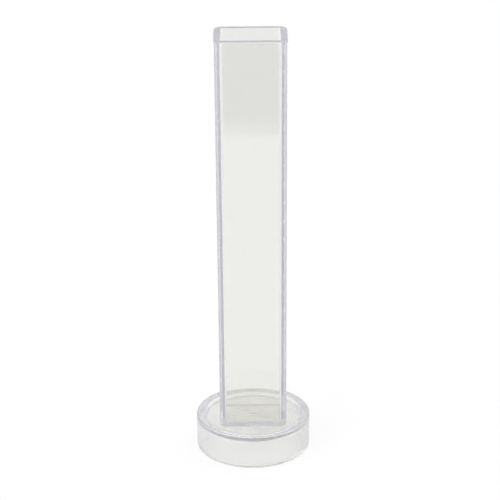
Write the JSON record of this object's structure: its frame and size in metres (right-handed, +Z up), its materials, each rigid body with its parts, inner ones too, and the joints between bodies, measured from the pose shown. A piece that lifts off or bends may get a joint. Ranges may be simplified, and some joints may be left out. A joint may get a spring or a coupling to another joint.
{
  "type": "manual rain gauge",
  "caption": "Tall clear rectangular measuring tube, open at the top, standing in the shallow recess of a round clear base.",
  "frame": {"origin": "centre of the base's underside, on the table", "axes": "+Z up along the tube, -Y the front, towards the viewer of the tube's wide side, +X the side with the scale"},
  "size_m": [0.06, 0.06, 0.2263],
  "materials": {
    "clear_base_plastic": "polished moulded, clear",
    "clear_tube_plastic": "polished moulded, clear"
  },
  "bodies": {
    "stand": {"base": "clear_base_plastic"},
    "tube": {"measuring_tube": "clear_tube_plastic"}
  },
  "joints": [
    {"name": "tube_lift", "type": "slide", "parent": "stand", "child": "tube", "axis": [0, 0, 1], "range_m": [0, 0.03]}
  ]
}
